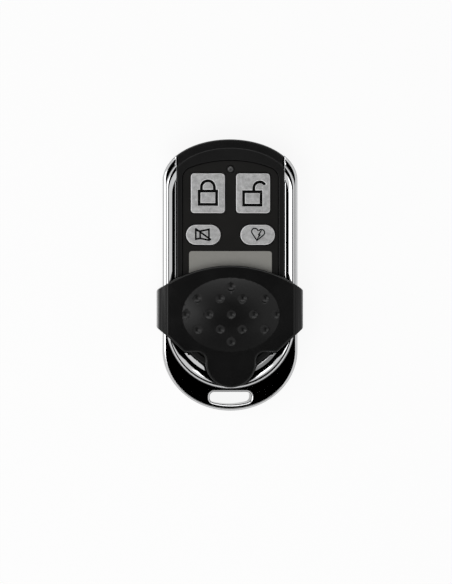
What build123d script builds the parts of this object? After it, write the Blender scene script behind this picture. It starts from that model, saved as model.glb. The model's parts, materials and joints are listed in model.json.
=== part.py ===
"""Wireless alarm remote: a polished metal frame round a black body with four keys, and a cover that slides.

Millimetres. X is to the right, Y runs from the key ring slot to the cap, and Z points out of the key face.
The origin lies under the middle of the outline, on the plane of the rear face.
"""

from build123d import *
from math import asin, cos, degrees, radians, sin, sqrt
import os

# Outline of the whole remote
remote_length = 68.0
tail_height = 15.0
crown_height = 10.25
metal_tail = 9.9
rail_width = 3.25

# Body that fills the frame
body_fit = 0.1
shell_wall = 1.3
rear_wall = 1.2
crown_bevel = 2.35
crown_ridge_round = 0.5
crown_foot_round = 1.4
rear_crown_round = 1.0
body_edge_round = 0.3
side_room = 3.55

# Stack inside the body, from the rear wall to the key tops
clip_gap = 0.1
clip_sheet = 0.25
cell_height = 3.2
pad_sheet = 0.15
board_sheet = 1.0
switch_height = 1.3
switch_plate = 0.15
plunger_out = 0.35
post_height = 0.5
key_flange = 0.5
deck_wall = 0.9
panel_sheet = 0.7
rim_height = 0.4
key_out = 0.6

# Metal frame
frame_rear_z = 0.3
land_drop = 0.2
front_round = 0.65
rear_round = 0.8
inner_round = 0.35
ramp_margin = 8.5
ramp_lip = 0.5
ramp_run = 1.55
ramp_fall = 0.3
bead_inset = 0.75
bead_width = 1.6
bead_crest = 0.1
bead_height = 0.4
bead_tail_out = 5.55
bead_tail_in = 7.5
bead_top_out_height = 9.75
bead_top_in_drop = 4.75
bead_top_in_height = 12.9
ledge_depth = 1.0
ledge_sheet = 1.0
ledge_drop = 1.75
parting_z = 5.2

# Key ring slot in the tail
slot_width = 10.4
slot_height = 3.2
slot_bar = 1.5
slot_corner = 1.15
slot_corner_share = 0.48
slot_round = 0.5

# Panel in the key face
panel_rim = 1.45
panel_drop = 5.3
panel_arch = 29.0
panel_corner = 3.0
panel_fit = 0.22
rim_edge_round = 0.15
label_margin = 1.74
label_height = 10.0
label_drop = 1.6
label_corner = 0.7
label_sheet = 0.25
label_fit = 0.1

# Keys
large_key_margin = 2.2
large_key_bridge = 2.84
large_key_height = 9.9
large_key_corner = 0.85
large_key_drop = 3.38
small_key_margin = 1.0
small_key_bridge = 5.0
small_key_height = 4.97
row_gap = 2.96
key_gap = 0.25
key_edge_round = 0.25
flange_margin = 0.5
post_radius = 1.1
engraving = 0.25
engraving_bevel = 0.15
enamel_drop = 0.15

# Signs engraved in the keys, each from its key's middle
symbol_line = 0.73
padlock_width = 5.1
padlock_height = 4.07
padlock_top = 0.9
shackle_radius = 1.99
shackle_rise = 0.58
open_padlock_x = -0.2
open_padlock_top = 0.75
open_shackle_radius = 1.87
open_shackle_x = 1.67
fine_line = 0.45
heart_line = 0.32
speaker_edge = [(-1.9, 1.1), (-0.8, 0.9), (1.4, 1.35)]
strike_ends = [(-2.05, 1.6), (1.9, -1.25)]
heart_lobe = 0.95
heart_lobe_x = 0.85
heart_lobe_y = 0.7
heart_slope = 42
heart_tilt = -9
flash_edge = [
    (0.78, 1.15), (-0.04, -0.06), (0.2, -0.08), (-0.42, -1.5), (0.86, 0.02), (0.52, 0.12), (1.12, 1.15),
]

# Indicator
lens_radius = 0.95
lens_flange_radius = 1.3
lens_edge_round = 0.8
lens_out = 0.2
lens_gap = 0.05
lens_drop = 2.3
led_radius = 0.85
led_flange_radius = 1.1
led_edge_round = 0.7
led_foot = 0.4
led_lens_gap = 0.5

# Tactile switches
switch_size = 4.2
switch_cavity_radius = 1.6
switch_cavity_depth = 0.8
plunger_radius = 0.85
plunger_flange_radius = 1.35
plunger_flange = 0.3
plunger_gap = 0.06
dome_sheet = 0.08
dome_radius = 1.4
plate_margin = 0.1

# Coin cell and its contacts
cell_radius = 10.0
cell_drop = 25.0
cell_wall = 0.3
cell_crimp = 0.2
cell_gasket = 0.5
cell_fit = 0.03
cradle_gap = 0.15
cradle_wall = 0.8
cradle_height = 2.2
clip_width = 5.0
clip_foot = 1.2
clip_side_gap = 0.2
pad_radius = 4.0

# Circuit board and what stands on it, placed from the middle of the body's round end
board_gap = 0.3
chip_length = 4.9
chip_width = 3.9
chip_height = 1.3
chip_standoff = 0.15
chip_x = -3.3
chip_rise = 8.1
leg_pitch = 1.27
leg_width = 0.4
leg_sheet = 0.2
leg_span = 0.95
resonator_length = 5.0
resonator_width = 3.5
resonator_height = 1.3
resonator_step = 0.5
resonator_x = 3.5
resonator_rise = 8.3
transistor_length = 2.9
transistor_width = 1.3
transistor_height = 1.0
transistor_foot = 0.5
transistor_pitch = 0.95
transistor_x = 3.6
transistor_rise = 3.5
coil_radius = 1.0
coil_wire = 0.4
coil_pitch = 0.62
coil_turns = 5
coil_x = -3.2
coil_rise = 1.1
antenna_radius = 0.4
antenna_inset = 5.9
antenna_height = 1.4
antenna_reach = 10.5
antenna_bend = 0.9
chip_part_length = 1.6
chip_part_width = 0.8
chip_part_pitch = 1.7
resistor_height = 0.45
resistor_left_x = -3.2
resistor_left_drop = 1.9
resistor_right_x = 3.2
resistor_right_drop = 0.2
capacitor_height = 0.8
capacitor_left_x = -4.4
capacitor_left_rise = 3.8
capacitor_near_x = -2.2
capacitor_middle_x = 0.0
capacitor_middle_rise = 1.7

# Rear screws and their bosses
screw_radius = 0.8
screw_head_radius = 1.55
screw_head = 0.8
screw_head_chamfer = 0.2
screw_recess = 0.15
screw_grip = 2.1
screw_fit = 0.02
screw_clearance = 0.15
screw_cross_length = 2.0
screw_cross_width = 0.36
screw_cross_depth = 0.45
rear_boss_radius = 2.3
front_boss_radius = 1.65
upper_screw_inset = 3.4
upper_screw_drop = 6.0
lower_screw_inset = 7.2
lower_screw_drop = 7.6

# Rating label on the rear wall
rear_label_width = 15.0
rear_label_height = 21.0
rear_label_drop = 30.5
rear_label_sheet = 0.2
rear_label_corner = 1.0

# Sliding cover, placed from the tail when open
cover_reach = 36.3
cover_arch = 30.0
wing_wall = 1.2
wing_drop = 15.6
shoulder_inset = 6.6
shoulder_drop = 21.6
tongue_radius = 6.3
tongue_drop = 24.2
tongue_blend = 2.2
wing_corner = 0.9
shoulder_corner = 0.8
cover_sheet = 1.2
cover_edge_round = 0.5
cover_key_gap = 0.3
slide_gap = 0.2
wing_round = 2.3
crease_inset = 2.6
crease_drop = 0.2
channel_round = 1.2
lip_sheet = 0.7
lip_reach = 2.0
travel = 26.0
stop_gap = 0.1
pad_margin = 6.0
pad_height = 18.6
pad_rise = 1.6
pad_spread = 1.3
pad_drop = 12.3
dimple_radius = 1.7
dimple_depth = 0.4
dimple_pitch = 5.7
dimple_offsets = [7.2, 4.2, 0.1, -3.8, -7.0]
dimple_counts = [1, 4, 5, 4, 1]
detent_radius = 0.6
detent_height = 0.12
detent_notch_radius = 0.8
detent_notch = 0.15

# Heights that follow from the stack
clip_z = rear_wall + clip_gap
cell_z = clip_z + clip_sheet
pad_z = cell_z + cell_height
board_z = pad_z + pad_sheet
board_top = board_z + board_sheet
switch_top = board_top + switch_height
plate_top = switch_top + switch_plate
plunger_top = plate_top + plunger_out
flange_z = plunger_top + post_height
deck_z = flange_z + key_flange
panel_z = deck_z + deck_wall
panel_top = panel_z + panel_sheet
rim_top = panel_top + rim_height
key_top = panel_top + key_out
land_z = rim_top - land_drop
bead_top = land_z + bead_height
cover_inner_z = max(key_top, bead_top) + cover_key_gap
cover_plate_top = cover_inner_z + cover_sheet
track_z = frame_rear_z + lip_sheet + slide_gap

# Widths that follow from the cell outwards
half_body = cell_radius + side_room
half_shell = half_body - body_fit
half_frame = half_body + rail_width
half_cover = half_frame + slide_gap + wing_wall
half_panel = half_body - panel_rim
bead_half_out = half_frame - bead_inset
bead_half_in = bead_half_out - bead_width
bead_side = (bead_width - bead_crest) / 2
bead_round = (bead_side**2 + bead_height**2) / (2 * bead_height)
bead_sunk = bead_round - bead_side
ramp_half = half_body + ramp_lip
large_key_width = half_panel - large_key_margin - large_key_bridge / 2
small_key_width = half_panel - small_key_margin - small_key_bridge / 2
large_key_x = (large_key_bridge + large_key_width) / 2
small_key_x = (small_key_bridge + small_key_width) / 2
label_width = 2 * (half_panel - label_margin)
upper_screw_x = half_body - upper_screw_inset
lower_screw_x = half_body - lower_screw_inset
shoulder_x = half_cover - shoulder_inset
crease_x = half_cover - crease_inset
channel_half = half_frame + slide_gap
lip_x = channel_half - lip_reach
track_x = lip_x - slide_gap
pad_width = 2 * (half_cover - pad_margin)
antenna_half = half_shell - antenna_inset

# Places along the length that follow from the two ends
half_length = remote_length / 2
beyond = half_length + half_cover
crown_y = half_length - crown_height
tail_y = tail_height - half_length
body_end_y = metal_tail + half_body - half_length
bead_out_end_y = bead_tail_out + bead_half_out - half_length
bead_in_end_y = bead_tail_in + bead_half_in - half_length
ramp_y = ramp_margin + ramp_half - half_length
bead_top_in_y = crown_y - bead_top_in_drop
ledge_top_y = crown_y - ledge_drop
slot_top_y = slot_bar + slot_height - half_length
panel_top_y = half_length - panel_drop
lens_y = panel_top_y - lens_drop
large_key_y = panel_top_y - large_key_drop - large_key_height / 2
small_key_y = large_key_y - large_key_height / 2 - row_gap - small_key_height / 2
label_top_y = small_key_y - small_key_height / 2 - label_drop
cell_y = half_length - cell_drop
rear_label_y = half_length - rear_label_drop
upper_screw_y = half_length - upper_screw_drop
lower_screw_y = body_end_y - lower_screw_drop
chip_y = body_end_y + chip_rise
resonator_y = body_end_y + resonator_rise
transistor_y = body_end_y + transistor_rise
coil_y = body_end_y + coil_rise
antenna_top_y = body_end_y + antenna_reach
cover_top_y = cover_reach - half_length
wing_end_y = cover_top_y - wing_drop
wing_top_y = cover_top_y - cover_arch + sqrt(cover_arch**2 - half_cover**2)
shoulder_y = cover_top_y - shoulder_drop
tongue_y = cover_top_y - tongue_drop
pad_y = cover_top_y - pad_drop

keys = {
    "lock": (-large_key_x, large_key_y, "large"),
    "unlock": (large_key_x, large_key_y, "large"),
    "mute": (-small_key_x, small_key_y, "small"),
    "panic": (small_key_x, small_key_y, "small"),
}
screw_places = [
    (-upper_screw_x, upper_screw_y),
    (upper_screw_x, upper_screw_y),
    (-lower_screw_x, lower_screw_y),
    (lower_screw_x, lower_screw_y),
]
up = (0, 0, 1)
slack = 0.01


def slab(face, low, high):
    """A flat face raised between two heights."""
    return extrude(Pos(0, 0, low) * face, amount=high - low, dir=up)


def block(x_low, x_high, y_low, y_high, z_low, z_high):
    """A box given by its limits."""
    place = Pos((x_low + x_high) / 2, (y_low + y_high) / 2, (z_low + z_high) / 2)
    return place * Box(x_high - x_low, y_high - y_low, z_high - z_low)


def rod(radius, low, high, x=0.0, y=0.0):
    """An upright cylinder between two heights."""
    return Pos(x, y, (low + high) / 2) * Cylinder(radius, high - low)


def edges_at(shape, height):
    """The edges of a shape that lie flat at one height."""
    return shape.edges().filter_by(
        lambda e: all(abs(e.position_at(share).Z - height) < slack for share in (0, 0.5, 1))
    )


def joined(curves):
    """A face bounded by curves that meet end to end."""
    return make_face(Curve() + curves)


def outline_face(inset=0.0):
    """The remote's outline: straight sides, closed by half an ellipse at the crown and at the tail."""
    half = half_frame - inset
    return joined([
        Line((half, tail_y), (half, crown_y)),
        EllipticalCenterArc((0, crown_y), half, crown_height - inset, start_angle=0, arc_size=180),
        Line((-half, crown_y), (-half, tail_y)),
        EllipticalCenterArc((0, tail_y), half, tail_height - inset, start_angle=180, arc_size=180),
    ])


def pill_face(half, end_y, top_y=beyond):
    """Straight sides from a square top down to a full round end."""
    return joined([
        Line((half, end_y), (half, top_y)),
        Line((half, top_y), (-half, top_y)),
        Line((-half, top_y), (-half, end_y)),
        ThreePointArc((-half, end_y), (0, end_y - half), (half, end_y)),
    ])


def body_face(inset=0.0):
    """The body's outline: the pill inside the frame, cut off by the crown."""
    return outline_face(inset) & pill_face(half_shell - inset, body_end_y)


def bead_face(half, end_y, top_y, top_height):
    """A closed loop: round at the tail end, straight sides and half an ellipse at the crown."""
    return joined([
        Line((half, end_y), (half, top_y)),
        EllipticalCenterArc((0, top_y), half, top_height, start_angle=0, arc_size=180),
        Line((-half, top_y), (-half, end_y)),
        ThreePointArc((-half, end_y), (0, end_y - half), (half, end_y)),
    ])


def slot_face():
    """The key ring slot: flat at the top, and following the tail's edge at the bottom."""
    half = slot_width / 2
    tail = Pos(0, tail_y) * Ellipse(half_frame - slot_bar, tail_height - slot_bar)
    window = Pos(0, slot_top_y - tail_height / 2) * Rectangle(slot_width, tail_height)
    shape = tail & window
    drop = (tail_height - slot_bar) * sqrt(1 - (half / (half_frame - slot_bar)) ** 2)
    end_height = slot_top_y - (tail_y - drop)
    return fillet(shape.vertices(), min(slot_corner, slot_corner_share * end_height))


def pocket(low, high):
    """The space in the frame that the body fills."""
    return slab(pill_face(half_body, body_end_y), low, high)


def make_frame():
    """The metal frame: a U of one section with a bead, a clamping ledge, a cover track and the slot."""
    outline = slab(outline_face(), frame_rear_z, land_z)
    outline = fillet(edges_at(outline, land_z), front_round)
    outline = fillet(edges_at(outline, frame_rear_z), rear_round)
    blank = block(-beyond, beyond, -beyond, beyond, frame_rear_z, land_z) - pocket(frame_rear_z, land_z)
    inner_edges = edges_at(blank, land_z).filter_by(
        lambda e: abs(e.position_at(0.5).X) < half_body + slack and e.position_at(0.5).Y < half_length
    )
    frame = fillet(inner_edges, inner_round) & outline
    frame -= ramp_cutter()
    out_half, out_height = bead_half_out + bead_sunk, bead_top_out_height + bead_sunk
    in_half, in_height = bead_half_in - bead_sunk, bead_top_in_height - bead_sunk
    ring = bead_face(out_half, bead_out_end_y, crown_y, out_height)
    ring -= bead_face(in_half, bead_in_end_y, bead_top_in_y, in_height)
    bead_gap = half_body - bead_round
    ring -= Pos(0, half_length) * Rectangle(2 * bead_gap, half_length)
    bead = slab(ring, bead_top - bead_round - slack, bead_top)
    crest = edges_at(bead, bead_top).filter_by(
        lambda e: abs(abs(e.position_at(0.5).X) - bead_gap) > slack
    )
    frame += fillet(crest, bead_round) - pocket(0, bead_top)
    ledge = pill_face(half_body, body_end_y, ledge_top_y) - pill_face(
        half_body - ledge_depth, body_end_y, ledge_top_y
    )
    frame += slab(ledge, parting_z - ledge_sheet, parting_z)
    hole = slab(slot_face(), 0, bead_top)
    frame -= hole
    slot_edges = [
        e
        for height in (land_z, frame_rear_z)
        for e in edges_at(frame, height)
        if abs(e.position_at(0.5).X) < slot_width / 2 + slack
        and tail_y - tail_height + slot_bar - slack < e.position_at(0.5).Y < slot_top_y + slack
    ]
    frame = fillet(slot_edges, slot_round)
    for side in (-1, 1):
        near, far = sorted((side * track_x, side * beyond))
        frame -= block(near, far, wing_end_y - stop_gap, wing_top_y + travel + stop_gap, 0, track_z)
        for y in (detent_y(), detent_y() + travel):
            notch_z = track_z + detent_notch - detent_notch_radius
            frame -= Pos(side * detent_x(), y, notch_z) * Sphere(detent_notch_radius)
    return frame


def ramp_cutter():
    """A wide cone that slopes the land down to the body round the tail end."""
    radius = ramp_half - ramp_run
    return Pos(0, ramp_y, land_z) * Cone(radius, radius + 2 * ramp_run, 2 * ramp_fall)


def detent_x():
    """Middle of the lip that carries the detent bump."""
    return (track_x + half_frame) / 2


def detent_y():
    """Middle of the wing, where the detent bump sits."""
    return (wing_end_y + wing_top_y) / 2


def detent_centre_z():
    """Centre of the detent bump's sphere, sunk so that only its crown stands out of the lip."""
    return frame_rear_z + lip_sheet + detent_height - detent_radius


def panel_face(inset=0.0):
    """The key panel: an arched top with rounded corners and a full round end, parallel to the body's."""
    half = half_panel - inset
    arch = panel_arch - inset
    arch_centre = panel_top_y - panel_arch
    corner_y = arch_centre + sqrt(arch**2 - half**2)
    shape = joined([
        Line((half, body_end_y), (half, corner_y)),
        ThreePointArc((half, corner_y), (0, arch_centre + arch), (-half, corner_y)),
        Line((-half, corner_y), (-half, body_end_y)),
        ThreePointArc((-half, body_end_y), (0, body_end_y - half), (half, body_end_y)),
    ])
    corners = shape.vertices().filter_by(lambda v: v.Y > (body_end_y + corner_y) / 2)
    return fillet(corners, panel_corner - inset)


def key_face(size, margin=0.0):
    """Outline of a large or a small key, grown by a margin."""
    if size == "large":
        return RectangleRounded(
            large_key_width + 2 * margin, large_key_height + 2 * margin, large_key_corner + margin
        )
    return SlotOverall(small_key_width + 2 * margin, small_key_height + 2 * margin)


def key_holes(low, high):
    """The four key holes and the lens hole, as one cutter."""
    holes = [rod(lens_radius + lens_gap, low, high, 0, lens_y)]
    for x, y, size in keys.values():
        holes.append(slab(Pos(x, y) * key_face(size, key_gap), low, high))
    return holes


def label_face(margin=0.0):
    """Outline of the plain label under the small keys."""
    centre = Pos(0, label_top_y - label_height / 2)
    return centre * RectangleRounded(label_width + 2 * margin, label_height + 2 * margin, label_corner)


def make_front_shell():
    """The front shell: a shallow tray with a rim round the key panel, and screw bosses behind."""
    outline = slab(outline_face(), parting_z, rim_top)
    outline = chamfer(edges_at(outline, rim_top), crown_bevel)
    outline = fillet(edges_at(outline, rim_top), crown_ridge_round)
    outline = fillet(edges_at(outline, rim_top - crown_bevel), crown_foot_round)
    blank = slab(pill_face(half_shell, body_end_y), parting_z, rim_top)
    long_edges = edges_at(blank, rim_top).filter_by(lambda e: e.position_at(0.5).Y < half_length)
    shell = fillet(long_edges, body_edge_round) & outline
    shell -= slab(body_face(shell_wall), parting_z, deck_z)
    for x, y in screw_places:
        shell += rod(front_boss_radius, board_top, deck_z + deck_wall / 2, x, y)
    recess = slab(panel_face(), panel_z, rim_top + 1)
    shell -= recess
    shell = fillet(
        edges_at(shell, rim_top).filter_by(lambda e: inside_panel(e.position_at(0.5))), rim_edge_round
    )
    for hole in key_holes(parting_z, rim_top):
        shell -= hole
    for x, y in screw_places:
        shell -= rod(screw_radius + screw_fit, parting_z, board_top + screw_grip + screw_fit, x, y)
    return shell


def inside_panel(point):
    """Whether a point lies on the edge of the panel's recess and not on the shell's own edge."""
    return abs(point.X) <= half_panel + slack and point.Y <= panel_top_y + slack and (
        point.Y > body_end_y - half_panel - slack
    )


def make_rear_shell():
    """The rear shell: wall, counterbored bosses that carry the board, and a cradle for the cell."""
    outline = slab(outline_face(), 0, parting_z)
    outline = fillet(edges_at(outline, 0), rear_crown_round)
    blank = slab(pill_face(half_shell, body_end_y), 0, parting_z)
    long_edges = edges_at(blank, 0).filter_by(lambda e: e.position_at(0.5).Y < half_length)
    shell = fillet(long_edges, body_edge_round) & outline
    shell -= slab(body_face(shell_wall), rear_wall, parting_z)
    ledge_seat = pill_face(beyond, body_end_y, ledge_top_y + body_fit) - pill_face(
        half_body - ledge_depth - body_fit, body_end_y, ledge_top_y + body_fit
    )
    shell -= slab(ledge_seat, parting_z - ledge_sheet, parting_z)
    for x, y in screw_places:
        shell += rod(rear_boss_radius, rear_wall / 2, board_z, x, y) & slab(body_face(), 0, board_z)
    inner = cell_radius + cradle_gap
    cradle = rod(inner + cradle_wall, rear_wall / 2, rear_wall + cradle_height, 0, cell_y)
    cradle -= rod(inner, 0, board_z, 0, cell_y)
    side = clip_width / 2 + clip_side_gap
    cradle -= block(-beyond, beyond, cell_y - side, cell_y + side, rear_wall, board_z)
    shell += cradle
    for x, y in screw_places:
        shell -= rod(screw_radius + screw_clearance, 0, board_z, x, y)
        shell -= rod(screw_head_radius + screw_clearance, 0, screw_recess + screw_head, x, y)
    shell -= slab(rear_label_face(label_fit), 0, rear_label_sheet)
    return shell


def rear_label_face(margin=0.0):
    """Outline of the blank rating label."""
    return Pos(0, rear_label_y) * RectangleRounded(
        rear_label_width + 2 * margin, rear_label_height + 2 * margin, rear_label_corner
    )


def make_panel():
    """The key panel, glued into the recess, with its holes and the label's seat."""
    panel = slab(panel_face(panel_fit), panel_z, panel_top)
    for hole in key_holes(panel_z, panel_top):
        panel -= hole
    return panel - slab(label_face(label_fit), panel_top - label_sheet, panel_top)


def padlock_face(body_x, body_top, shackle_x, radius, sweep):
    """A padlock drawn in lines: a box with a shackle over it, closed or swung open."""
    place = Pos(body_x, body_top - padlock_height / 2)
    box = place * Rectangle(padlock_width, padlock_height)
    box -= place * Rectangle(padlock_width - 2 * symbol_line, padlock_height - 2 * symbol_line)
    middle = radius - symbol_line / 2
    ring = trace(CenterArc((shackle_x, body_top + shackle_rise), middle, 180 - sweep, sweep), symbol_line)
    legs = [shackle_x - middle] if sweep < 180 else [shackle_x - middle, shackle_x + middle]
    height = shackle_rise + symbol_line / 2
    for x in legs:
        ring += Pos(x, body_top - symbol_line / 2 + height / 2) * Rectangle(symbol_line, height)
    return box + ring


def stroke_face(points, width):
    """A drawn line of one width through points, with square ends."""
    return trace(Polyline(*points), width)


def speaker_face():
    """A loudspeaker crossed out by a slanting bar."""
    mirrored = [(x, -y) for x, y in reversed(speaker_edge)]
    outline = stroke_face([*speaker_edge, *mirrored, speaker_edge[0]], fine_line)
    neck = stroke_face([speaker_edge[1], mirrored[1]], fine_line)
    return outline + neck + stroke_face(strike_ends, fine_line)


def heart_outline(lobe):
    """A heart: two round lobes and the two lines that touch them and meet in the tip."""
    along, across = sin(radians(heart_slope)), cos(radians(heart_slope))
    tip_y = heart_lobe_y - (lobe + heart_lobe_x * across) / along
    side_x, side_y = heart_lobe_x + lobe * across, heart_lobe_y - lobe * along
    body = make_face(Polyline(
        (0, tip_y), (side_x, side_y), (heart_lobe_x, heart_lobe_y), (0, heart_lobe_y + lobe / 2),
        (-heart_lobe_x, heart_lobe_y), (-side_x, side_y), (0, tip_y),
    ))
    for x in (-heart_lobe_x, heart_lobe_x):
        body += Pos(x, heart_lobe_y) * Circle(lobe)
    return body


def heart_face():
    """A tilted heart drawn in one line, with a lightning flash in its right half."""
    heart = heart_outline(heart_lobe) - heart_outline(heart_lobe - heart_line)
    flash = make_face(Polyline(*flash_edge, flash_edge[0]))
    return Rot(0, 0, heart_tilt) * heart + flash


def symbol_face(name):
    """The sign that is engraved in a key."""
    if name == "lock":
        return padlock_face(0, padlock_top, 0, shackle_radius, 180)
    if name == "unlock":
        return padlock_face(open_padlock_x, open_padlock_top, open_shackle_x, open_shackle_radius, 150)
    if name == "mute":
        return speaker_face()
    return heart_face()


def make_key(name):
    """One key cap with its retaining flange, the post that meets the switch, and its engraved sign.

    The wide lines of the two padlocks have bevelled edges.
    """
    x, y, size = keys[name]
    cap = slab(key_face(size), flange_z, key_top)
    cap = fillet(edges_at(cap, key_top), key_edge_round)
    cap += slab(key_face(size, flange_margin), flange_z, deck_z)
    cap += rod(post_radius, plunger_top, flange_z)
    rim = [edge.position_at(0.5) for edge in edges_at(cap, key_top)]
    cap -= slab(symbol_face(name), key_top - engraving, key_top + 1)
    if size == "large":
        engraved = edges_at(cap, key_top).filter_by(
            lambda e: all((e.position_at(0.5) - point).length > slack for point in rim)
        )
        cap = chamfer(engraved, engraving_bevel)
    return Pos(x, y) * cap


def make_symbol(name):
    """The black enamel that fills a key's engraving."""
    x, y, _ = keys[name]
    return Pos(x, y) * slab(symbol_face(name), key_top - engraving, key_top - enamel_drop)


def switch_parts(name):
    """Housing, plate, plunger and snap dome of one tactile switch, under its key."""
    x, y, _ = keys[name]
    floor = switch_top - switch_cavity_depth
    half = switch_size / 2
    housing = block(-half, half, -half, half, board_top, switch_top)
    housing -= rod(switch_cavity_radius, floor, switch_top)
    edge = half - plate_margin
    plate = block(-edge, edge, -edge, edge, switch_top, plate_top)
    plate -= rod(plunger_radius + plunger_gap, switch_top, plate_top)
    plunger = rod(plunger_flange_radius, switch_top - plunger_flange, switch_top)
    plunger += rod(plunger_radius, switch_top - plunger_flange, plunger_top)
    rise = switch_cavity_depth - plunger_flange
    ball = (dome_radius**2 + rise**2) / (2 * rise)
    crown = Pos(0, 0, floor + rise - ball)
    dome = crown * Sphere(ball) - crown * Sphere(ball - dome_sheet)
    dome &= rod(dome_radius, floor, floor + rise)
    place = Pos(x, y)
    return {
        f"{name}_switch_housing": place * housing,
        f"{name}_switch_plate": place * plate,
        f"{name}_switch_plunger": place * plunger,
        f"{name}_switch_dome": place * dome,
    }


def make_lens():
    """The clear indicator lens, held by its flange behind the deck."""
    lens = rod(lens_radius, deck_z - key_flange, panel_top + lens_out, 0, lens_y)
    lens = fillet(edges_at(lens, panel_top + lens_out), lens_edge_round)
    return lens + rod(lens_flange_radius, deck_z - key_flange, deck_z, 0, lens_y)


def make_led():
    """The domed light emitting diode under the lens."""
    top = deck_z - key_flange - led_lens_gap
    led = rod(led_radius, board_top, top, 0, lens_y)
    led = fillet(edges_at(led, top), led_edge_round)
    return led + rod(led_flange_radius, board_top, board_top + led_foot, 0, lens_y)


def make_board():
    """The circuit board, clamped between the bosses by the four screws."""
    board = slab(body_face(shell_wall + board_gap), board_z, board_top)
    for x, y in screw_places:
        board -= rod(screw_radius + screw_clearance, board_z, board_top, x, y)
    return board


def cell_parts():
    """The coin cell's can, gasket and cap, and the two contacts that hold it."""
    bore = cell_radius - cell_wall
    can = rod(cell_radius, cell_z, pad_z - cell_crimp, 0, cell_y)
    can -= rod(bore, cell_z + cell_wall, pad_z, 0, cell_y)
    cap_radius = bore - cell_gasket - cell_fit
    cap = rod(cap_radius, cell_z + cell_wall, pad_z, 0, cell_y)
    gasket = rod(bore - cell_fit, cell_z + cell_wall, pad_z - cell_crimp, 0, cell_y)
    gasket -= rod(cap_radius + cell_fit, cell_z, pad_z, 0, cell_y)
    half = clip_width / 2
    low, high = cell_y - half, cell_y + half
    side = cell_radius + cell_fit
    clip = block(-side - clip_sheet, side + clip_sheet, low, high, clip_z, clip_z + clip_sheet)
    for hand in (-1, 1):
        inner, outer = sorted((hand * side, hand * (side + clip_sheet)))
        clip += block(inner, outer, low, high, clip_z, board_z)
        inner, outer = sorted((hand * side, hand * (side + clip_foot)))
        clip += block(inner, outer, low, high, board_z - clip_sheet, board_z)
    return {
        "coin_cell_can": can,
        "coin_cell_gasket": gasket,
        "coin_cell_cap": cap,
        "positive_clip": clip,
        "negative_pad": rod(pad_radius, pad_z, board_z, 0, cell_y),
    }


def make_chip_legs():
    """The encoder chip's bent legs, four along each long side."""
    legs = []
    mid_z = board_top + chip_standoff + chip_height / 2
    for hand in (-1, 1):
        edge = chip_y + hand * chip_width / 2
        shoulder = edge + hand * leg_span / 2
        toe = edge + hand * leg_span
        for i in range(4):
            x = chip_x + (i - 1.5) * leg_pitch
            left, right = x - leg_width / 2, x + leg_width / 2
            low, high = sorted((edge, shoulder + hand * leg_sheet / 2))
            leg = block(left, right, low, high, mid_z - leg_sheet, mid_z)
            low, high = sorted((shoulder - hand * leg_sheet / 2, shoulder + hand * leg_sheet / 2))
            leg += block(left, right, low, high, board_top, mid_z)
            low, high = sorted((shoulder, toe))
            leg += block(left, right, low, high, board_top, board_top + leg_sheet)
            legs.append(leg)
    return legs


def make_chip():
    """The encoder chip's moulded body."""
    low = board_top + chip_standoff
    return block(
        chip_x - chip_length / 2, chip_x + chip_length / 2,
        chip_y - chip_width / 2, chip_y + chip_width / 2,
        low, low + chip_height,
    )


def make_resonator():
    """The radio resonator in its seamed metal can."""
    place = Pos(resonator_x, resonator_y)
    rim = place * RectangleRounded(resonator_length, resonator_width, resonator_step)
    lid = place * RectangleRounded(
        resonator_length - resonator_step, resonator_width - resonator_step, resonator_step / 2
    )
    return slab(rim, board_top, board_top + resonator_height / 2) + slab(
        lid, board_top, board_top + resonator_height
    )


def make_transistor():
    """The transmitter's transistor: moulded body and three feet."""
    low = board_top + chip_standoff
    half_x, half_y = transistor_length / 2, transistor_width / 2
    solids = [
        block(
            transistor_x - half_x, transistor_x + half_x,
            transistor_y - half_y, transistor_y + half_y,
            low, low + transistor_height,
        )
    ]
    for x, hand in ((-transistor_pitch, -1), (transistor_pitch, -1), (0, 1)):
        edge = transistor_y + hand * half_y
        near, far = sorted((edge, edge + hand * transistor_foot))
        left = transistor_x + x - leg_width / 2
        solids.append(block(left, left + leg_width, near, far, board_top, low + transistor_height / 2))
    return solids


def make_coil():
    """The tuning coil: one wire wound round air, lying along X on the board."""
    path = Helix(pitch=coil_pitch, height=coil_pitch * coil_turns, radius=coil_radius)
    section = Plane(origin=path @ 0, z_dir=path % 0) * Circle(coil_wire / 2)
    coil = sweep(section, path=path, is_frenet=True)
    centre_z = board_top + coil_radius + coil_wire / 2
    return Pos(coil_x, coil_y, centre_z) * Rot(0, 90, 0) * Pos(0, 0, -coil_pitch * coil_turns / 2) * coil


def make_antenna():
    """The loop antenna: a stiff wire that rises from the board and follows the round end."""
    half = antenna_half
    low = board_top
    high = board_top + antenna_height
    ends = antenna_top_y
    bend = antenna_bend
    riser = ThreePointArc(
        (-half, ends, high - bend),
        (-half, ends - bend * (1 - sqrt(0.5)), high - bend * (1 - sqrt(0.5))),
        (-half, ends - bend, high),
    )
    faller = ThreePointArc(
        (half, ends - bend, high),
        (half, ends - bend * (1 - sqrt(0.5)), high - bend * (1 - sqrt(0.5))),
        (half, ends, high - bend),
    )
    path = Curve() + [
        Line((-half, ends, low), (-half, ends, high - bend)),
        riser,
        Line((-half, ends - bend, high), (-half, body_end_y, high)),
        ThreePointArc((-half, body_end_y, high), (0, body_end_y - half, high), (half, body_end_y, high)),
        Line((half, body_end_y, high), (half, ends - bend, high)),
        faller,
        Line((half, ends, high - bend), (half, ends, low)),
    ]
    section = Plane(origin=(-half, ends, low), z_dir=up) * Circle(antenna_radius)
    return sweep(section, path=path)


def chip_parts(places, height):
    """Small ceramic parts of one height, each a block between two end caps."""
    solids = []
    for x, y in places:
        half_x, half_y = chip_part_length / 2, chip_part_width / 2
        solids.append(block(x - half_x, x + half_x, y - half_y, y + half_y, board_top, board_top + height))
    return solids


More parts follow.
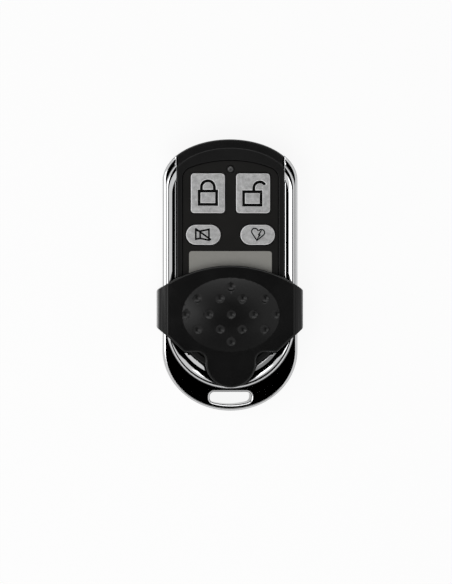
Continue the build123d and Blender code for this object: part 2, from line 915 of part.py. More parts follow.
def row_of_parts(x, rise, count):
    """Places of a row of small parts, one below the other, from a height over the round end's middle."""
    return [(x, body_end_y + rise - i * chip_part_pitch) for i in range(count)]


def make_screws():
    """The four rear screws, each a shank, a flat head and a cross recess."""
    screws = []
    for x, y in screw_places:
        seat = screw_recess + screw_head
        screw = rod(screw_head_radius, screw_recess, seat)
        screw = chamfer(edges_at(screw, screw_recess), screw_head_chamfer)
        screw += rod(screw_radius, seat, board_top + screw_grip)
        for length, width in (
            (screw_cross_length, screw_cross_width),
            (screw_cross_width, screw_cross_length),
        ):
            bar = Rectangle(length, width)
            screw -= slab(bar, screw_recess, screw_recess + screw_cross_depth)
        screws.append(Pos(x, y) * screw)
    return screws


def cover_face():
    """The cover seen from the front: an arched top, short wings, sloping shoulders and a round tongue."""
    arch_centre = cover_top_y - cover_arch
    plate = joined([
        Line((half_cover, wing_end_y), (half_cover, wing_top_y)),
        ThreePointArc((half_cover, wing_top_y), (0, cover_top_y), (-half_cover, wing_top_y)),
        Line((-half_cover, wing_top_y), (-half_cover, wing_end_y)),
        Line((-half_cover, wing_end_y), (-shoulder_x, shoulder_y)),
        Line((-shoulder_x, shoulder_y), (shoulder_x, shoulder_y)),
        Line((shoulder_x, shoulder_y), (half_cover, wing_end_y)),
    ])
    plate = fillet(plate.vertices().filter_by(lambda v: v.Y > (wing_end_y + shoulder_y) / 2), wing_corner)
    plate = fillet(plate.vertices().filter_by(lambda v: abs(v.Y - shoulder_y) < slack), shoulder_corner)
    shape = plate + Pos(0, tongue_y) * Circle(tongue_radius)
    necks = shape.vertices().filter_by(lambda v: abs(v.Y - shoulder_y) < slack and abs(v.X) < tongue_radius)
    return fillet(necks, tongue_blend)


def wing_profile():
    """Section of the cover across its width: a flat plate, a crease at each side, and a rounded wing."""
    half = half_cover
    top = cover_plate_top
    low = top - crease_drop
    arc_x = half - wing_round
    arc_z = low - wing_round
    knee = wing_round * sqrt(0.5)
    points = []
    for side in (1, -1):
        points.append([
            Line((side * half, frame_rear_z), (side * half, arc_z)),
            ThreePointArc((side * half, arc_z), (side * (arc_x + knee), arc_z + knee), (side * arc_x, low)),
            Line((side * arc_x, low), (side * crease_x, top)),
        ])
    across = [Line((crease_x, top), (-crease_x, top)), Line((-half, frame_rear_z), (half, frame_rear_z))]
    return joined(points[0] + points[1] + across)


def pad_radii():
    """Radii of the thumb pad's crown along X and along Y."""
    across = ((pad_width / 2) ** 2 + pad_rise**2) / (2 * pad_rise)
    along = ((pad_height / 2) ** 2 + pad_rise**2) / (2 * pad_rise)
    return across, along


def pad_solid(inset):
    """The thumb pad's crown: an arc along Y turned about an axis far below, and drawn in by an inset."""
    across, along = pad_radii()
    axis_z = cover_plate_top + pad_rise - across
    hub = across - along
    radius = along - inset
    reach = (pad_height / 2) * pad_spread
    drop = sqrt(radius**2 - reach**2)
    floor = hub + drop - cover_sheet
    turn = degrees(asin((pad_width / 2) * pad_spread / across))
    section = joined([
        ThreePointArc((-reach, hub + drop), (0, hub + radius), (reach, hub + drop)),
        Line((reach, hub + drop), (reach, floor)),
        Line((reach, floor), (-reach, floor)),
        Line((-reach, floor), (-reach, hub + drop)),
    ])
    wedge = revolve(Plane.YZ * section, axis=Axis.Y, revolution_arc=turn)
    wedge += revolve(Plane.YZ * section, axis=Axis.Y, revolution_arc=-turn)
    return Pos(0, pad_y, axis_z) * wedge


def pad_surface_z(x, y):
    """Height of the thumb pad's surface over a place."""
    across, along = pad_radii()
    axis_z = cover_plate_top + pad_rise - across
    ring = across - along + sqrt(along**2 - (y - pad_y) ** 2)
    return axis_z + sqrt(ring**2 - x**2)


def make_cover():
    """The sliding cover: plate, domed thumb pad with dimples, wings and the lips that hook the frame."""
    blank = slab(cover_face(), frame_rear_z, cover_plate_top)
    blank = fillet(edges_at(blank, cover_plate_top), cover_edge_round)
    wrap = extrude(Plane.XZ * wing_profile(), amount=beyond, both=True)
    cover = blank & wrap
    channel = block(-channel_half, channel_half, -beyond, beyond, 0, cover_inner_z)
    channel = fillet(edges_at(channel, cover_inner_z).filter_by(Axis.Y), channel_round)
    cover -= channel
    for side in (-1, 1):
        near, far = sorted((side * lip_x, side * half_cover))
        lip = block(near, far, wing_end_y, wing_top_y, frame_rear_z, frame_rear_z + lip_sheet)
        lip &= slab(cover_face(), 0, cover_plate_top)
        bump = Pos(side * detent_x(), detent_y(), detent_centre_z()) * Sphere(detent_radius)
        bump &= block(near, far, wing_end_y, wing_top_y, frame_rear_z + lip_sheet / 2, cover_inner_z)
        cover += lip + bump
    above = block(-beyond, beyond, -beyond, beyond, cover_plate_top - cover_sheet / 2, beyond)
    cover += pad_solid(0) & above & slab(cover_face(), 0, beyond)
    hollow = block(-beyond, beyond, -beyond, beyond, cover_inner_z - slack, beyond)
    cover -= pad_solid(cover_sheet) & hollow
    for offset, count in zip(dimple_offsets, dimple_counts):
        y = pad_y + offset
        for i in range(count):
            x = (i - (count - 1) / 2) * dimple_pitch
            centre_z = pad_surface_z(x, y) + dimple_radius - dimple_depth
            cover -= Pos(x, y, centre_z) * Sphere(dimple_radius)
    return cover


def all_parts():
    """Every named piece of the remote."""
    parts = {
        "metal_frame": make_frame(),
        "front_shell": make_front_shell(),
        "rear_shell": make_rear_shell(),
        "key_panel": make_panel(),
        "front_label": slab(label_face(), panel_top - label_sheet, panel_top),
        "rear_label": slab(rear_label_face(), 0, rear_label_sheet),
        "indicator_lens": make_lens(),
        "indicator_led": make_led(),
        "circuit_board": make_board(),
        "encoder_chip": make_chip(),
        "encoder_chip_legs": make_chip_legs(),
        "radio_resonator": make_resonator(),
        "radio_transistor": make_transistor(),
        "tuning_coil": make_coil(),
        "loop_antenna": make_antenna(),
        "chip_resistors": chip_parts(
            row_of_parts(resistor_left_x, -resistor_left_drop, 2)
            + row_of_parts(resistor_right_x, -resistor_right_drop, 3),
            resistor_height,
        ),
        "chip_capacitors": chip_parts(
            row_of_parts(capacitor_left_x, capacitor_left_rise, 1)
            + row_of_parts(capacitor_near_x, capacitor_left_rise, 1)
            + row_of_parts(capacitor_middle_x, capacitor_middle_rise, 3),
            capacitor_height,
        ),
        "rear_screws": make_screws(),
        "slide_cover": make_cover(),
    }
    parts.update(cell_parts())
    for name in keys:
        parts[f"{name}_key"] = make_key(name)
        parts[f"{name}_symbol"] = make_symbol(name)
        parts.update(switch_parts(name))
    return parts


def main():
    """Write one file for each named piece."""
    os.makedirs("parts", exist_ok=True)
    for name, part in all_parts().items():
        shape = Compound(children=list(part)) if isinstance(part, list) else part
        export_step(shape, f"parts/{name}.step")


main()
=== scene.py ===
"""Looks of the wireless alarm remote: finishes, smoothed skins and the studio that it is shown in."""

import json
from math import cos, radians, sin

import bmesh
import bpy
import numpy as np
from mathutils import Matrix, Vector


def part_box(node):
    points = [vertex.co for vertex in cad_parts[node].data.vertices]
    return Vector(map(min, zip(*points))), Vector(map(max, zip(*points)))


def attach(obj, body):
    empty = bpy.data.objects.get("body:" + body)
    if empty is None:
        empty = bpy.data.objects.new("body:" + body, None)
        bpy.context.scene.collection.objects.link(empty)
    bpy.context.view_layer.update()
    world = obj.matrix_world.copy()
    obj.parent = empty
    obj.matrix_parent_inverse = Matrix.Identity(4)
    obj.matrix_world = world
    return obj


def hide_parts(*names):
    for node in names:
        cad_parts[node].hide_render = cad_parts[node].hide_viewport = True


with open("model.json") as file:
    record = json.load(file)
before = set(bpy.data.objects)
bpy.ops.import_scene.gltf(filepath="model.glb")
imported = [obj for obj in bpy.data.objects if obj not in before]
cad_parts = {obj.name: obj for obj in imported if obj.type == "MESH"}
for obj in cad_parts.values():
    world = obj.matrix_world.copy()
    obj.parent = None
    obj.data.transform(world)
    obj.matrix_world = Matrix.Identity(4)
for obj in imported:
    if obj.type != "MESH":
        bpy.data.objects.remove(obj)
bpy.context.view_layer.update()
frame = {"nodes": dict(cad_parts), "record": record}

MM = 0.001
KEY_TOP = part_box("lock_key")[1].z
PANEL_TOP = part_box("key_panel")[1].z

# The photograph's frame, and where the point over the origin at key height lies in it
IMAGE_WIDTH = 452
IMAGE_HEIGHT = 584
ORIGIN_PIXEL = (230.5, 274.7)
METRES_PER_PIXEL = 0.25 * MM
KEY_HEIGHT = 10.5 * MM
CAMERA_DISTANCE = 0.75
CAMERA_LEAN = radians(2.8)
CAMERA_SENSOR = 36.0

# The bead on the frame, measured like the CAD's: half widths, tail centres, crown centres and crown heights
LAND_Z = 10.5 * MM
BEAD_HEIGHT = 0.4 * MM
BEAD_FOOT_OUT = (16.12 * MM, -12.35 * MM, 21.9 * MM, 10.7 * MM)
BEAD_CREST = (15.6 * MM, -12.3 * MM, 21.4 * MM, 11.2 * MM)
BEAD_FOOT_IN = (14.62 * MM, -12.05 * MM, 20.1 * MM, 10.6 * MM)

# How far from the middle the bead stops at the cap, the power of its section, and its depth under the land
BEAD_END = 13.5 * MM
BEAD_POWER = 2.0
BEAD_ROOT = 0.05 * MM

# The ramp inside the bead at the tail: its centre and the circle where it leaves the land
RAMP_Y = -11.45 * MM
RAMP_RADIUS = 14.05 * MM

# Edges sharper than this stay crisp on a smoothed skin, corners this close are one, and points this near to a
# plane or a circle lie on it
CREASE = radians(32)
WELD = 0.0005 * MM
ON_PLANE = 0.01 * MM
ON_CIRCLE = 0.02 * MM

# The studio: its fill, its floor, and the rays to which its surroundings look white
FILL_STRENGTH = 0.32
FLOOR_TONE = 0.86
FLOOR_GLOW = 0.9
FLOOR_HALF = 1.5
FLOOR_DROP = 0.1 * MM
UNDERSIDE_REACH = 5 * MM
WHITE_TO = ("Camera", "Glossy", "Transmission")

# The colour sockets of a Mix node, whose number sockets have the same names
MIX_LOW = 6
MIX_HIGH = 7
MIX_RESULT = 2


class Wire:
    """One output of a node. Sums, differences and products of wires and numbers become Math nodes."""

    def __init__(self, nodes, socket):
        self.nodes = nodes
        self.socket = socket

    def __add__(self, other):
        return self.nodes.math("ADD", self, other)

    def __sub__(self, other):
        return self.nodes.math("SUBTRACT", self, other)

    def __mul__(self, other):
        return self.nodes.math("MULTIPLY", self, other)

    def __rsub__(self, other):
        return self.nodes.math("SUBTRACT", other, self)

    __radd__ = __add__
    __rmul__ = __mul__


class Nodes:
    """The nodes of a material or of the world, and short ways to the patterns that this object uses."""

    def __init__(self, holder):
        holder.use_nodes = True
        self.holder = holder
        self.tree = holder.node_tree
        self.tree.nodes.clear()

    def node(self, kind, settings=None, sockets=None, out=0):
        """Makes a node, sets its settings, then fills its sockets with values or links."""
        made = self.tree.nodes.new(kind)
        for name, value in (settings or {}).items():
            if name == "stops":
                self.set_stops(made.color_ramp, value)
            else:
                setattr(made, name, value)
        for key, value in (sockets or {}).items():
            if isinstance(value, Wire):
                self.tree.links.new(value.socket, made.inputs[key])
            else:
                made.inputs[key].default_value = value
        return Wire(self, made.outputs[out]) if made.outputs else None

    @staticmethod
    def set_stops(ramp, stops):
        """Gives a ramp its stops, each a place and a grey value."""
        while len(ramp.elements) < len(stops):
            ramp.elements.new(1.0)
        for element, (place, grey) in zip(ramp.elements, stops):
            element.position = place
            element.color = (grey, grey, grey, 1)

    def math(self, operation, first, second):
        """One Math node on two values."""
        return self.node("ShaderNodeMath", {"operation": operation}, {0: first, 1: second})

    def place(self, stretch=(1, 1, 1)):
        """Object coordinates, stretched."""
        point = self.node("ShaderNodeTexCoord", out="Object")
        return self.node("ShaderNodeMapping", None, {"Vector": point, "Scale": stretch})

    def grain(self, size, detail=3.0, rough=0.55, stretch=(1, 1, 1)):
        """Smooth noise about one half, whose blots are about this size in metres."""
        return self.node("ShaderNodeTexNoise", None, {
            "Vector": self.place(stretch), "Scale": 1 / size, "Detail": detail, "Roughness": rough,
        })

    def cells(self, size, out="Distance"):
        """Distance to the nearest of many scattered points this far apart."""
        return self.node("ShaderNodeTexVoronoi", None, {
            "Vector": self.place(), "Scale": 1 / size, "Randomness": 1.0,
        }, out=out)

    def ramp(self, value, stops):
        """Reads a value off a curve of grey stops."""
        return self.node("ShaderNodeValToRGB", {"stops": stops}, {"Fac": value})

    def step(self, value, start, end, before, after):
        """Goes smoothly from one number to another while a value runs from start to end."""
        return self.node("ShaderNodeMapRange", {"interpolation_type": "SMOOTHSTEP"}, {
            "Value": value, "From Min": start, "From Max": end, "To Min": before, "To Max": after,
        })

    def mix(self, factor, low, high):
        """Blends two colours."""
        return self.node("ShaderNodeMix", {"data_type": "RGBA"}, {
            "Factor": factor, MIX_LOW: low, MIX_HIGH: high,
        }, out=MIX_RESULT)

    def bump(self, height, depth):
        """A surface relief of this depth in metres."""
        return self.node("ShaderNodeBump", None, {"Height": height, "Distance": depth, "Strength": 1.0})

    def seen_straight(self):
        """One where the eye, a mirror or a clear body looks, and nothing where light is gathered."""
        eye, mirror, clear = (self.node("ShaderNodeLightPath", out=f"Is {kind} Ray") for kind in WHITE_TO)
        return self.math("MAXIMUM", self.math("MAXIMUM", eye, mirror), clear)

    def surface(self, sockets):
        """Ends the material in one Principled surface."""
        shader = self.node("ShaderNodeBsdfPrincipled", None, sockets)
        self.node("ShaderNodeOutputMaterial", None, {"Surface": shader})
        return self.holder


def new_finish(name):
    """An empty material."""
    return Nodes(bpy.data.materials.new(name))


def grey(value):
    """A neutral colour."""
    return (value, value, value, 1.0)


def polished_chrome():
    """Chrome plate over a die casting: a faint ripple, hairlines and fingerprints."""
    f = new_finish("polished_chrome")
    ripple = f.grain(6 * MM, 1.0)
    hairlines = f.ramp(f.grain(0.5 * MM, 2.0, 0.7, (1, 0.06, 1)), [(0.6, 0), (0.78, 1)])
    smears = f.ramp(f.grain(5 * MM, 3.0), [(0.45, 0), (0.75, 1)])
    return f.surface({
        "Base Color": f.mix(smears, (0.56, 0.562, 0.566, 1), (0.545, 0.548, 0.552, 1)),
        "Metallic": 1.0,
        "Specular Tint": grey(0.28),
        "Roughness": 0.035 + smears * 0.025 + hairlines * 0.03,
        "Normal": f.bump(ripple, 0.01 * MM),
    })


def moulded_plastic(name, dark, light, rough, spread, pit, depth, gloss=0.16):
    """Dyed plastic from a textured mould: pits, a slow change of gloss and a trace of dust."""
    f = new_finish(name)
    slow = f.grain(7 * MM, 3.0)
    pits = f.cells(pit)
    dust = f.ramp(f.grain(0.35 * MM, 2.0, 0.6), [(0.66, 0), (0.8, 1)])
    return f.surface({
        "Base Color": f.mix(slow * 0.7 + dust * 0.3, dark, light),
        "Roughness": rough + (slow - 0.5) * spread + dust * 0.06,
        "Specular IOR Level": gloss,
        "Normal": f.bump(pits, depth),
    })


def silver_paint():
    """Satin silver paint on a key: flakes and clouds on its top, and a painted highlight, near white, on its
    bevel and sides.
    Below the panel's top the key turns near black: painted shade in the gap round the key."""
    # Heights of the key's top bevel; from its foot downwards the key carries the painted highlight
    bevel_foot, bevel_head = KEY_TOP - 0.09 * MM, KEY_TOP - 0.004 * MM
    # Heights below which the key is fully dark and above which it is silver: painted shade in the gap round
    # the key
    gap_shade_full_below, gap_shade_gone_above = PANEL_TOP - 0.35 * MM, PANEL_TOP - 0.1 * MM
    f = new_finish("satin_silver_paint")
    flakes = f.cells(0.16 * MM, out="Color")
    flake = f.node("ShaderNodeSeparateColor", None, {"Color": flakes})
    drift = f.grain(1.1 * MM, 4.0, 0.65)
    tone = flake * 0.55 + drift * 0.45
    high = f.node("ShaderNodeSeparateXYZ", None, {"Vector": f.place()}, out="Z")
    # Painted highlight: from the bevel's head down, the key's colour goes to near white and it grows less
    # metallic, standing in for light on its edges
    painted_edge_highlight = f.step(high, bevel_foot, bevel_head, 1.0, 0.0)
    # Painted shade: below the panel's top the key's colour turns near black and loses its metal, standing in
    # for the shade in the gap round it
    outside_gap_shade = f.step(high, gap_shade_full_below, gap_shade_gone_above, 0.0, 1.0)
    cloud = f.ramp(f.grain(1.2 * MM, 4.0, 0.65), [(0.36, 0), (0.66, 1)])
    paint = f.mix(cloud * 0.55 + tone * 0.45, grey(0.25), grey(0.56))
    return f.surface({
        "Base Color": f.mix(outside_gap_shade, grey(0.004), f.mix(painted_edge_highlight, paint, grey(0.92))),
        "Metallic": (0.35 - painted_edge_highlight * 0.3) * outside_gap_shade,
        "Roughness": 0.38 + drift * 0.16 - painted_edge_highlight * 0.1,
        "Normal": f.bump(flake * 0.5 + drift * 0.5, 0.012 * MM),
    })


def flat_print(name, low, high, rough, grain_size=0.4 * MM, gloss=0.5):
    """A printed or enamelled face with a faint mottle."""
    f = new_finish(name)
    mottle = f.grain(grain_size, 3.0, 0.6)
    return f.surface({
        "Base Color": f.mix(mottle, low, high),
        "Specular IOR Level": gloss,
        "Roughness": rough + (mottle - 0.5) * 0.1,
        "Normal": f.bump(mottle, 0.004 * MM),
    })


def plated_metal(name, low, high, rough, lines):
    """Plated or drawn metal with fine lines along X."""
    f = new_finish(name)
    streak = f.grain(lines, 3.0, 0.6, (0.08, 1, 1))
    patch = f.grain(2.5 * MM, 3.0)
    return f.surface({
        "Base Color": f.mix(patch, low, high),
        "Metallic": 1.0,
        "Roughness": rough + (streak - 0.5) * 0.2,
        "Normal": f.bump(streak, 0.006 * MM),
    })


def smoked_lens():
    """Smoked acrylic over the indicator."""
    f = new_finish("smoked_lens")
    swirl = f.grain(0.8 * MM, 2.0)
    return f.surface({
        "Base Color": f.mix(swirl, grey(0.02), grey(0.035)),
        "Roughness": 0.28 + swirl * 0.08,
    })


def red_diode():
    """Clear red resin with a darker core."""
    f = new_finish("red_diode")
    core = f.grain(0.6 * MM, 2.0)
    return f.surface({
        "Base Color": f.mix(core, (0.35, 0.012, 0.008, 1), (0.6, 0.04, 0.03, 1)),
        "Roughness": 0.12 + core * 0.05,
        "Coat Weight": 0.5,
    })


def solder_mask():
    """Green board lacquer over a copper pattern that shows as lighter tracks."""
    f = new_finish("green_board")
    weave = f.node("ShaderNodeTexWave", {"wave_type": "BANDS", "bands_direction": "DIAGONAL"}, {
        "Vector": f.place(), "Scale": 260.0, "Distortion": 2.5, "Detail": 1.0,
    }, out="Fac")
    tracks = f.ramp(weave, [(0.55, 0), (0.62, 1)])
    return f.surface({
        "Base Color": f.mix(tracks, (0.006, 0.05, 0.016, 1), (0.012, 0.11, 0.035, 1)),
        "Roughness": 0.3 + tracks * 0.08,
        "Normal": f.bump(tracks, 0.02 * MM),
    })


FINISHES = {
    "chrome_metal": polished_chrome(),
    "black_shell": moulded_plastic(
        "cap_black", grey(0.0095), grey(0.0165), 0.22, 0.1, 0.22 * MM, 0.0015 * MM, 0.12
    ),
    "rear_black": moulded_plastic(
        "rear_black", grey(0.009), grey(0.015), 0.5, 0.12, 0.18 * MM, 0.012 * MM
    ),
    "panel_black": moulded_plastic(
        "panel_black", (0.0046, 0.0044, 0.004, 1), (0.0075, 0.0072, 0.0067, 1),
        0.42, 0.1, 0.2 * MM, 0.002 * MM,
    ),
    "cover_black": moulded_plastic(
        "cover_black", grey(0.001), grey(0.0026), 0.3, 0.12, 0.2 * MM, 0.002 * MM, 0.24
    ),
    "silver_paint": silver_paint(),
    "black_enamel": flat_print("black_enamel", grey(0.0005), grey(0.0015), 0.5, gloss=0.06),
    "grey_label": flat_print(
        "grey_label", (0.198, 0.195, 0.178, 1), (0.226, 0.222, 0.205, 1), 0.55, 1.2 * MM
    ),
    "silver_label": flat_print("silver_film", grey(0.42), grey(0.5), 0.35, 0.3 * MM),
    "smoked_lens": smoked_lens(),
    "red_led": red_diode(),
    "board_green": solder_mask(),
    "chip_black": flat_print("moulded_chip", grey(0.011), grey(0.022), 0.6, 0.2 * MM),
    "tin": plated_metal("bright_tin", grey(0.62), grey(0.74), 0.3, 0.1 * MM),
    "cell_steel": plated_metal(
        "nickel_steel", (0.6, 0.595, 0.58, 1), (0.7, 0.69, 0.67, 1), 0.26, 0.15 * MM
    ),
    "gasket_plastic": flat_print("gasket_grey", grey(0.22), grey(0.3), 0.5),
    "spring_steel": plated_metal(
        "spring_nickel", (0.58, 0.57, 0.54, 1), (0.66, 0.65, 0.61, 1), 0.28, 0.12 * MM
    ),
    "gold_plate": plated_metal("gold_plate", (0.8, 0.56, 0.2, 1), (0.88, 0.66, 0.3, 1), 0.25, 0.1 * MM),
    "copper": plated_metal("enamelled_copper", (0.6, 0.25, 0.12, 1), (0.7, 0.34, 0.18, 1), 0.3, 0.1 * MM),
    "resistor_black": flat_print("resistor_glaze", grey(0.012), grey(0.03), 0.25, 0.3 * MM),
    "capacitor_tan": flat_print(
        "capacitor_ceramic", (0.26, 0.17, 0.1, 1), (0.34, 0.23, 0.15, 1), 0.45, 0.3 * MM
    ),
    "screw_steel": plated_metal("zinc_steel", grey(0.5), grey(0.62), 0.3, 0.08 * MM),
    "plunger_black": flat_print("plunger_black", grey(0.015), grey(0.03), 0.5),
}


def dress_nodes():
    """Gives every CAD node the finish of its record slot."""
    for row in frame["record"]["subparts"]:
        node = frame["nodes"][row["node"]]
        node.data.materials.clear()
        node.data.materials.append(FINISHES[row["material_slot"]])


def skin_of(node, flatten_above=None):
    """The triangles of a CAD node with their shared corners made one. Where a height is given, what stands
    above it is pressed down to it: z becomes the smaller of the two."""
    skin = bmesh.new()
    skin.from_mesh(frame["nodes"][node].data)
    bmesh.ops.remove_doubles(skin, verts=skin.verts, dist=WELD)
    mesh = bpy.data.meshes.new(f"{node}_skin")
    skin.to_mesh(mesh)
    skin.free()
    if flatten_above is not None:
        points = np.empty(3 * len(mesh.vertices), np.float32)
        mesh.vertices.foreach_get("co", points)
        points[2::3] = np.minimum(points[2::3], flatten_above)
        mesh.vertices.foreach_set("co", points)
    return mesh


def on_ramp_circle(points):
    """Points of the land's plane on the ramp's outer circle: there |p - centre| = radius."""
    reach = np.hypot(points[:, 0], points[:, 1] - RAMP_Y)
    return (np.abs(reach - RAMP_RADIUS) < ON_CIRCLE) & (np.abs(points[:, 2] - LAND_Z) < ON_PLANE)


def on_back_plane(points):
    """Points of the flat rear face, the lowest of all."""
    return points[:, 2] < points[:, 2].min() + ON_PLANE


def mark_crisp(mesh, chosen):
    """Marks as sharp the edges whose two ends are both among the chosen points."""
    points = np.empty(3 * len(mesh.vertices), np.float32)
    mesh.vertices.foreach_get("co", points)
    pairs = np.empty(2 * len(mesh.edges), np.int32)
    mesh.edges.foreach_get("vertices", pairs)
    sharp = np.empty(len(mesh.edges), bool)
    edge = mesh.attributes["sharp_edge"]
    edge.data.foreach_get("value", sharp)
    both = chosen(points.reshape(-1, 3))[pairs].reshape(-1, 2).all(axis=1)
    edge.data.foreach_set("value", sharp | both)


def smooth_piece(name, mesh, node, body, slot, creases=()):
    """Shades a joined skin smoothly between its crisp edges and lets it stand for its CAD node."""
    mesh.shade_smooth()
    mesh.set_sharp_from_angle(angle=CREASE)
    for chosen in creases:
        mark_crisp(mesh, chosen)
    mesh.materials.clear()
    mesh.materials.append(FINISHES[slot])
    piece = bpy.data.objects.new(name, mesh)
    bpy.context.scene.collection.objects.link(piece)
    even = piece.modifiers.new("even_normals", "WEIGHTED_NORMAL")
    even.keep_sharp = True
    even.mode = "FACE_AREA"
    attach(piece, body)
    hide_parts(node)


def bead_line(half, tail_y, crown_y, crown_height, steps):
    """One long line of the bead. Its right half goes down an ellipse from where the bead stops, straight down
    the side and round the tail on a quarter circle, and its left half mirrors that. Steps gives the points of
    each stretch."""
    crown, side, tail = steps
    last = np.arccos(BEAD_END / half)
    turn = np.linspace(last, 0, crown, endpoint=False)
    rise = np.stack([half * np.cos(turn), crown_y + crown_height * np.sin(turn)])
    run = np.stack([np.full(side, half), np.linspace(crown_y, tail_y, side, endpoint=False)])
    sweep = np.linspace(0, -np.pi / 2, tail)
    bend = np.stack([half * np.cos(sweep), tail_y + half * np.sin(sweep)])
    right = np.concatenate([rise, run, bend], axis=1)
    left = right[:, -2::-1] * np.array([[-1.0], [1.0]])
    return np.concatenate([right, left], axis=1)


def bead_mesh(steps=(60, 60, 90), across=9):
    """The raised bead: z = land + height (1 - |u| ^ power), where u runs from -1 at the outer foot through 0
    at the crest to 1 at the inner foot. Its lines lie closer near the crest, and a flat root closes it."""
    lines = (BEAD_FOOT_OUT, BEAD_CREST, BEAD_FOOT_IN)
    foot_out, crest, foot_in = (bead_line(*line, steps) for line in lines)
    u = np.linspace(-1, 1, 2 * across + 1)
    u = (np.sign(u) * u**2)[:, None, None]
    plan = crest + np.maximum(-u, 0) * (foot_out - crest) + np.maximum(u, 0) * (foot_in - crest)
    z = LAND_Z + BEAD_HEIGHT * (1 - np.abs(u[:, 0]) ** BEAD_POWER) * np.ones(plan.shape[2])
    rows = np.concatenate([plan, z[:, None]], axis=1)
    root = rows[[-1, 0]].copy()
    root[:, 2] -= BEAD_ROOT
    rows = np.concatenate([rows, root])
    around, along = rows.shape[0], rows.shape[2]
    points = rows.transpose(0, 2, 1).reshape(-1, 3)
    grid = np.arange(around * along).reshape(around, along)
    near, far = grid, np.roll(grid, -1, axis=0)
    quads = np.stack([near[:, :-1], near[:, 1:], far[:, 1:], far[:, :-1]], axis=-1).reshape(-1, 4)
    ends = [tuple(grid[::-1, 0]), tuple(grid[:, -1])]
    mesh = bpy.data.meshes.new("bead")
    mesh.from_pydata(points.tolist(), [], quads.tolist() + ends)
    return mesh


def outward(mesh):
    """Turns every face of a closed mesh outwards."""
    shell = bmesh.new()
    shell.from_mesh(mesh)
    bmesh.ops.recalc_face_normals(shell, faces=shell.faces)
    shell.to_mesh(mesh)
    shell.free()
    return mesh


def make_frame_skin():
    """The polished frame: the CAD's own form with a bead whose crest lies near its outer foot."""
    level = skin_of("metal_frame", LAND_Z)
    bead = outward(bead_mesh())
    whole = bmesh.new()
    whole.from_mesh(level)
    whole.from_mesh(bead)
    joined = bpy.data.meshes.new("polished_frame")
    whole.to_mesh(joined)
    whole.free()
    crisp = (on_ramp_circle, on_back_plane)
    smooth_piece("polished_frame", joined, "metal_frame", "case", "chrome_metal", crisp)


def make_world():
    """White surroundings to the eye and in metal, and a plain grey fill for everything else."""
    world = bpy.data.worlds.new("studio")
    w = Nodes(world)
    strength = FILL_STRENGTH + w.seen_straight() * (1 - FILL_STRENGTH)
    sky = w.node("ShaderNodeBackground", None, {"Color": grey(1.0), "Strength": strength})
    w.node("ShaderNodeOutputWorld", None, {"Surface": sky})
    bpy.context.scene.world = world


def flat_card(name, corners):
    """One flat face with these corners."""
    mesh = bpy.data.meshes.new(name)
    mesh.from_pydata(corners, [], [tuple(range(len(corners)))])
    card = bpy.data.objects.new(name, mesh)
    bpy.context.scene.collection.objects.link(card)
    return card


def rectangle(name, centre, right, up):
    """A flat rectangle given by its centre and two half sides."""
    centre, right, up = Vector(centre), Vector(right), Vector(up)
    corners = [centre - right - up, centre + right - up, centre + right + up, centre - right + up]
    return flat_card(name, [tuple(corner) for corner in corners])


def disc(name, centre, radius, corners=96):
    """A level disc: its rim is centre + radius (cos turn, sin turn)."""
    turn = np.linspace(0, 2 * np.pi, corners, endpoint=False)
    rim = np.stack([np.cos(turn), np.sin(turn), 0 * turn], axis=1) * radius + np.array(centre)
    return flat_card(name, rim.tolist())


def make_floor():
    """A pale floor that stays white to the eye and takes the remote's shadow. It is clear from below, and to
    the light that the remote's underside gathers, so that the back can be looked at."""
    f = new_finish("pale_floor")
    paper = f.node("ShaderNodeBsdfDiffuse", None, {"Color": grey(FLOOR_TONE)})
    glow = f.node("ShaderNodeEmission", None, {"Color": grey(1.0), "Strength": 1.0})
    shown = f.node("ShaderNodeMixShader", None, {"Fac": f.seen_straight() * FLOOR_GLOW, 1: paper, 2: glow})
    short = f.node("ShaderNodeLightPath", out="Ray Length")
    close = f.math("LESS_THAN", short, UNDERSIDE_REACH)
    gathered = f.node("ShaderNodeLightPath", out="Is Diffuse Ray")
    below = f.node("ShaderNodeNewGeometry", out="Backfacing")
    clear = f.math("MAXIMUM", below, close * gathered)
    clear_sheet = f.node("ShaderNodeBsdfTransparent")
    sheet = f.node("ShaderNodeMixShader", None, {"Fac": clear, 1: shown, 2: clear_sheet})
    f.node("ShaderNodeOutputMaterial", None, {"Surface": sheet})
    floor = rectangle("floor", (0, 0, -FLOOR_DROP), (FLOOR_HALF, 0, 0), (0, FLOOR_HALF, 0))
    floor.data.materials.append(f.holder)


def make_dark_card(card, tone=0.0):
    """Makes a card black, or of a grey tone, and shows it in reflections alone."""
    f = new_finish(card.name)
    cloth = f.node("ShaderNodeEmission", None, {"Color": grey(1.0), "Strength": tone})
    f.node("ShaderNodeOutputMaterial", None, {"Surface": cloth})
    card.data.materials.append(f.holder)
    card.visible_camera = False
    card.visible_shadow = False
    card.visible_diffuse = False


def make_light(name, place, width, height, power, mirrored=True, spread=True):
    """A soft rectangular lamp that points at the remote. It shows in gloss where it is mirrored, and lights
    matt faces where it is spread."""
    lamp = bpy.data.lights.new(name, "AREA")
    lamp.shape = "RECTANGLE"
    lamp.size, lamp.size_y = width, height
    lamp.energy = power
    stand = bpy.data.objects.new(name, lamp)
    stand.location = place
    stand.visible_glossy = mirrored
    stand.visible_diffuse = spread
    stand.rotation_euler = (-Vector(place)).to_track_quat("-Z", "Y").to_euler()
    bpy.context.scene.collection.objects.link(stand)


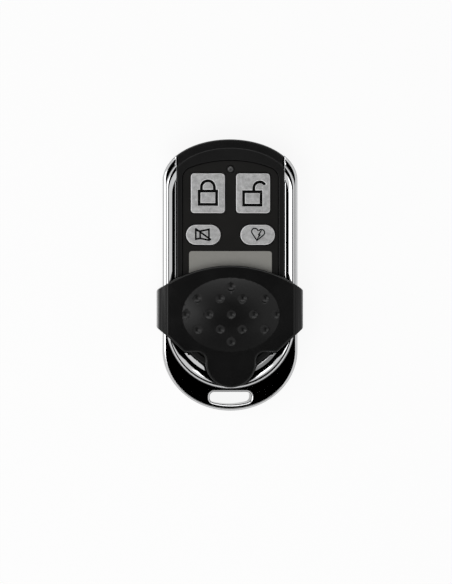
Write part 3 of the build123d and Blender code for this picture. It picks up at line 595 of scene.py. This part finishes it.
def make_cards():
    """What the polished metal mirrors: black overhead and beyond the far end, grey near the tail and to the
    far left. Places and half sides are in metres."""
    make_dark_card(disc("dark_ceiling", centre=(0, 0, 1.1), radius=0.36))
    near = rectangle("near_card", centre=(0, -0.6, 0.95), right=(0.6, 0, 0), up=(0, 0.2, 0.18))
    make_dark_card(near, tone=0.28)
    corner = rectangle("corner_card", centre=(-0.26, 0.27, 1.0), right=(0.11, 0.11, 0), up=(-0.07, 0.07, 0))
    make_dark_card(corner, tone=0.35)
    make_dark_card(rectangle("far_ground", centre=(0, 0.75, 0.0005), right=(0.7, 0, 0), up=(0, 0.68, 0)))
    make_dark_card(rectangle("far_flag", centre=(0, 1.25, 0.28), right=(1.1, 0, 0), up=(0, 0, 0.3)))


def make_lamps():
    """One lamp near the tail for matt faces, one past the far end for gloss, and one at the left for both."""
    make_light("near_light", (-0.2, -0.55, 0.92), width=0.8, height=0.8, power=6.4, mirrored=False)
    make_light("key_light", (0, 0.79, 0.62), width=1.3, height=0.45, power=4.2, spread=False)
    make_light("left_light", (-0.68, 0.1, 0.74), width=0.42, height=1.2, power=3.1)


def make_camera():
    """A long lens nearly straight over the keys, leaning a little to the left."""
    to_camera = Vector((-sin(CAMERA_LEAN), 0, cos(CAMERA_LEAN)))
    right = Vector((cos(CAMERA_LEAN), 0, sin(CAMERA_LEAN)))
    up = Vector((0, 1, 0))
    shift_x = (IMAGE_WIDTH / 2 - ORIGIN_PIXEL[0]) * METRES_PER_PIXEL
    shift_y = (ORIGIN_PIXEL[1] - IMAGE_HEIGHT / 2) * METRES_PER_PIXEL
    target = Vector((0, 0, KEY_HEIGHT)) + right * shift_x + up * shift_y
    lens = bpy.data.cameras.new("camera")
    lens.sensor_width = CAMERA_SENSOR
    lens.lens = CAMERA_SENSOR * CAMERA_DISTANCE / (IMAGE_HEIGHT * METRES_PER_PIXEL)
    camera = bpy.data.objects.new("camera", lens)
    camera.matrix_world = Matrix.Translation(target + to_camera * CAMERA_DISTANCE) @ Matrix(
        (right, up, to_camera)
    ).transposed().to_4x4()
    bpy.context.scene.collection.objects.link(camera)
    bpy.context.scene.camera = camera


make_camera()
make_world()
make_floor()
make_cards()
make_lamps()
dress_nodes()
make_frame_skin()
smooth_piece("satin_cover", skin_of("slide_cover"), "slide_cover", "cover", "cover_black")
smooth_piece("capped_shell", skin_of("front_shell"), "front_shell", "case", "black_shell")

bpy.context.scene.view_settings.view_transform = "Standard"
